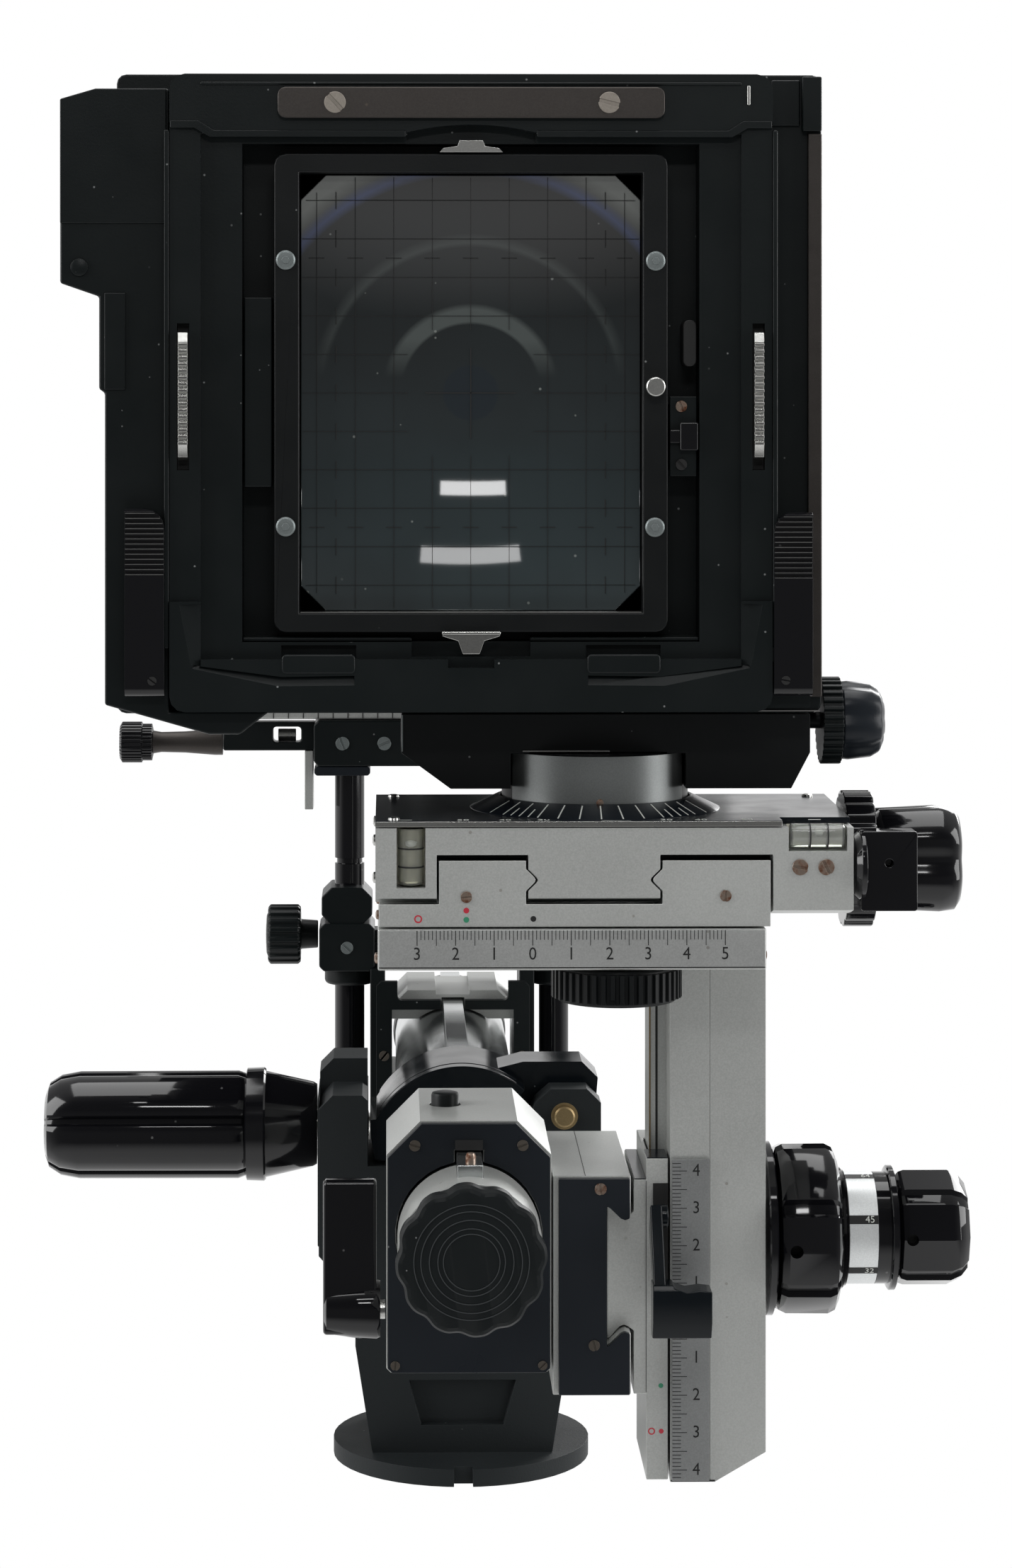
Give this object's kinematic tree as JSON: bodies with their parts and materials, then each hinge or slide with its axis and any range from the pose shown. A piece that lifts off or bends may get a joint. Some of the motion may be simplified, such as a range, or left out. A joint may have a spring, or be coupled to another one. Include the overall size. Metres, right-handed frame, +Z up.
{
  "type": "view camera",
  "caption": "Monorail view camera on a rail clamp: geared rear standard with ground glass back, bellows, two-rod front standard and lens board with shutter.",
  "frame": {"origin": "middle of the clamp foot's flat underside, at the mouth of the tripod socket", "axes": "+Z up, +Y along the rail towards the subject, +X to the right of the operator behind the ground glass"},
  "size_m": [0.258, 0.362, 0.396],
  "materials": {
    "black_paint": "black anodised and crackle-free satin paint on light alloy",
    "gloss_black": "polished black plastic grips",
    "satin_alloy": "satin silver anodised light alloy",
    "steel": "bright turned steel",
    "brass": "dull brass",
    "bronze_trim": "brown-grey metal trim",
    "scale_strip": "bright satin strip with black engraved divisions",
    "scale_plate": "black plate with white engraved divisions",
    "leatherette": "folded black leatherette",
    "ground_glass": "finely ground glass with an engraved centimetre grid",
    "vial": "clear level vial with yellowish liquid",
    "lens": "coated lens glass"
  },
  "bodies": {
    "rail_clamp": {"clamp_base": "black_paint", "jaw_pin": "brass"},
    "clamp_jaw": {"clamp_jaw": "black_paint"},
    "clamp_handle": {"clamp_stud": "steel", "clamp_handle": "gloss_black"},
    "rail": {"rail": "satin_alloy", "rail_cap_rear": "black_paint", "rail_cap_front": "black_paint"},
    "rear_carriage": {"rear_block": "satin_alloy", "rear_block_cover": "black_paint", "focus_guide": "satin_alloy", "focus_guide_cover": "black_paint"},
    "release_button": {"release_button": "gloss_black"},
    "rear_clamp_lever": {"rear_clamp_lever": "gloss_black"},
    "focus_carrier": {"focus_slide": "satin_alloy"},
    "rise_lock_lever": {"rise_lock_lever": "gloss_black"},
    "rear_column": {"column": "satin_alloy", "rise_scale": "scale_strip", "shift_guide": "satin_alloy", "shift_scale": "scale_strip"},
    "rise_knob": {"rise_knob": "gloss_black"},
    "dof_ring": {"dof_ring": "satin_alloy"},
    "focus_knob": {"focus_knob": "gloss_black"},
    "shift_wheel": {"shift_wheel": "black_paint"},
    "rear_shift": {"shift_carriage": "satin_alloy"},
    "rear_tilt": {"tilt_carriage": "satin_alloy", "swing_scale_plate": "scale_plate", "level_vial_side": "vial", "level_vial_top": "vial"},
    "tilt_knob": {"tilt_knob": "gloss_black"},
    "tilt_lock_lever": {"tilt_lock_lever": "gloss_black"},
    "rear_swing": {"swing_turntable": "black_paint", "frame_bearer": "black_paint", "rear_frame": "black_paint", "back_frame": "black_paint", "coupling_cover": "black_paint", "guide_strip": "bronze_trim", "bellows": "leatherette"},
    "frame_lock_knob": {"frame_lock_knob": "gloss_black"},
    "back_lever_left": {"back_lever_left": "gloss_black"},
    "back_lever_right": {"back_lever_right": "gloss_black"},
    "thumb_slide_left": {"thumb_slide_left": "steel"},
    "thumb_slide_right": {"thumb_slide_right": "steel"},
    "glass_back": {"glass_frame": "black_paint", "ground_glass": "ground_glass"},
    "front_carriage": {"front_block": "satin_alloy"},
    "front_block_knob": {"front_block_knob": "gloss_black"},
    "front_tilt": {"front_yoke": "black_paint"},
    "front_rise": {"rod_left": "gloss_black", "rod_right": "gloss_black", "front_crossbar": "black_paint"},
    "front_rise_knob": {"front_rise_knob": "black_paint"},
    "front_shift_knob": {"front_shift_knob": "gloss_black"},
    "front_shift": {"front_shift_bar": "satin_alloy"},
    "front_swing": {"front_swing_bearer": "black_paint", "front_frame": "black_paint", "lens_board": "black_paint", "shutter_body": "black_paint", "lens_glass": "lens"},
    "aperture_ring": {"aperture_ring": "satin_alloy"}
  },
  "joints": [
    {"name": "clamp_jaw_hinge", "type": "hinge", "parent": "rail_clamp", "child": "clamp_jaw", "pos_m": [0.0296, 0, 0.1024], "axis": [0, 1, 0], "range_deg": [0, 70]},
    {"name": "clamp_handle_turn", "type": "hinge", "parent": "rail_clamp", "child": "clamp_handle", "pos_m": [-0.042, 0, 0.0966], "axis": [1, 0, 0], "range_deg": [0, 360]},
    {"name": "rail_slide", "type": "slide", "parent": "rail_clamp", "child": "rail", "axis": [0, 1, 0], "range_m": [-0.03, 0.012]},
    {"name": "rear_carriage_slide", "type": "slide", "parent": "rail", "child": "rear_carriage", "axis": [0, 1, 0], "range_m": [-0.01, 0.01]},
    {"name": "release_button_press", "type": "slide", "parent": "rear_carriage", "child": "release_button", "axis": [0, 0, -1], "range_m": [0, 0.0015], "stiffness_N_per_m": 300, "springref_m": -0.001},
    {"name": "rear_clamp_lever_turn", "type": "hinge", "parent": "rear_carriage", "child": "rear_clamp_lever", "pos_m": [-0.022, -0.1, 0.066], "axis": [1, 0, 0], "range_deg": [0, 35]},
    {"name": "fine_focus", "type": "slide", "parent": "rear_carriage", "child": "focus_carrier", "axis": [0, 1, 0], "range_m": [-0.02, 0.02]},
    {"name": "rise_lock_lever_turn", "type": "hinge", "parent": "focus_carrier", "child": "rise_lock_lever", "pos_m": [0.049, -0.1105, 0.093], "axis": [-1, 0, 0], "range_deg": [0, 35]},
    {"name": "rear_rise", "type": "slide", "parent": "focus_carrier", "child": "rear_column", "axis": [0, 0, 1], "range_m": [-0.03, 0.04]},
    {"name": "rise_knob_turn", "type": "hinge", "parent": "rear_column", "child": "rise_knob", "pos_m": [0.0822, -0.084, 0.084], "axis": [1, 0, 0], "range_deg": [-180, 240]},
    {"name": "dof_ring_turn", "type": "hinge", "parent": "rear_column", "child": "dof_ring", "pos_m": [0.101, -0.084, 0.084], "axis": [1, 0, 0], "continuous": true},
    {"name": "focus_knob_turn", "type": "hinge", "parent": "rear_column", "child": "focus_knob", "pos_m": [0.1166, -0.084, 0.084], "axis": [1, 0, 0], "range_deg": [-120, 120]},
    {"name": "shift_wheel_turn", "type": "hinge", "parent": "rear_column", "child": "shift_wheel", "pos_m": [0.03875, -0.118, 0.157], "axis": [0, 0, 1], "range_deg": [-170, 300]},
    {"name": "rear_shift", "type": "slide", "parent": "rear_column", "child": "rear_shift", "axis": [1, 0, 0], "range_m": [-0.022, 0.04]},
    {"name": "rear_tilt", "type": "hinge", "parent": "rear_shift", "child": "rear_tilt", "pos_m": [0.0373, -0.101, 0.312], "axis": [1, 0, 0], "range_deg": [-12, 12]},
    {"name": "tilt_knob_turn", "type": "hinge", "parent": "rear_tilt", "child": "tilt_knob", "pos_m": [0.1083, -0.101, 0.187], "axis": [1, 0, 0], "range_deg": [-190, 190]},
    {"name": "tilt_lock_lever_turn", "type": "hinge", "parent": "rear_tilt", "child": "tilt_lock_lever", "pos_m": [0.0998, -0.101, 0.187], "axis": [-1, 0, 0], "range_deg": [0, 30]},
    {"name": "rear_swing", "type": "hinge", "parent": "rear_tilt", "child": "rear_swing", "pos_m": [0.034, -0.1, 0.201], "axis": [0, 0, 1], "range_deg": [-20, 20], "deforming": ["bellows"]},
    {"name": "frame_lock_turn", "type": "hinge", "parent": "rear_swing", "child": "frame_lock_knob", "pos_m": [0.091, -0.107, 0.2246], "axis": [1, 0, 0], "range_deg": [0, 180]},
    {"name": "back_lever_left_turn", "type": "hinge", "parent": "rear_swing", "child": "back_lever_left", "pos_m": [-0.0895, -0.136, 0.236], "axis": [1, 0, 0], "range_deg": [0, 30]},
    {"name": "back_lever_right_turn", "type": "hinge", "parent": "rear_swing", "child": "back_lever_right", "pos_m": [0.0784, -0.136, 0.236], "axis": [1, 0, 0], "range_deg": [0, 30]},
    {"name": "glass_back_slide", "type": "slide", "parent": "rear_swing", "child": "glass_back", "axis": [0, -1, 0], "range_m": [0, 0.012]},
    {"name": "thumb_slide_left_move", "type": "slide", "parent": "rear_swing", "child": "thumb_slide_left", "axis": [0, 0, 1], "range_m": [-0.0012, 0.0012]},
    {"name": "thumb_slide_right_move", "type": "slide", "parent": "rear_swing", "child": "thumb_slide_right", "axis": [0, 0, 1], "range_m": [-0.0012, 0.0012]},
    {"name": "front_carriage_slide", "type": "slide", "parent": "rail", "child": "front_carriage", "axis": [0, 1, 0], "range_m": [-0.02, 0.015]},
    {"name": "front_block_knob_turn", "type": "hinge", "parent": "front_carriage", "child": "front_block_knob", "pos_m": [0, 0.165, 0.0497], "axis": [0, 0, 1], "range_deg": [0, 180]},
    {"name": "front_tilt", "type": "hinge", "parent": "front_carriage", "child": "front_tilt", "pos_m": [0, 0.165, 0.06], "axis": [1, 0, 0], "range_deg": [-8, 8]},
    {"name": "front_rise", "type": "slide", "parent": "front_tilt", "child": "front_rise", "axis": [0, 0, 1], "range_m": [-0.03, 0.04]},
    {"name": "front_rise_knob_turn", "type": "hinge", "parent": "front_tilt", "child": "front_rise_knob", "pos_m": [-0.045, 0.165, 0.129], "axis": [1, 0, 0], "range_deg": [0, 180]},
    {"name": "front_shift_knob_turn", "type": "hinge", "parent": "front_rise", "child": "front_shift_knob", "pos_m": [-0.077, 0.165, 0.194], "axis": [1, 0, 0], "range_deg": [0, 180]},
    {"name": "front_shift", "type": "slide", "parent": "front_rise", "child": "front_shift", "axis": [1, 0, 0], "range_m": [-0.03, 0.03]},
    {"name": "front_swing", "type": "hinge", "parent": "front_shift", "child": "front_swing", "pos_m": [0, 0.165, 0.208], "axis": [0, 0, 1], "range_deg": [-20, 20]},
    {"name": "aperture_ring_turn", "type": "hinge", "parent": "front_swing", "child": "aperture_ring", "pos_m": [0, 0.1944, 0.312], "axis": [0, 1, 0], "range_deg": [0, 90]}
  ],
  "couplings": [
    {"joint": "rise_knob_turn", "follows": "rear_rise", "rad_per_m": 100},
    {"joint": "focus_knob_turn", "follows": "fine_focus", "rad_per_m": 100},
    {"joint": "shift_wheel_turn", "follows": "rear_shift", "rad_per_m": 125},
    {"joint": "tilt_knob_turn", "follows": "rear_tilt", "ratio": 15},
    {"joint": "back_lever_left_turn", "follows": "glass_back_slide", "rad_per_m": 43.6},
    {"joint": "back_lever_right_turn", "follows": "glass_back_slide", "rad_per_m": 43.6}
  ]
}
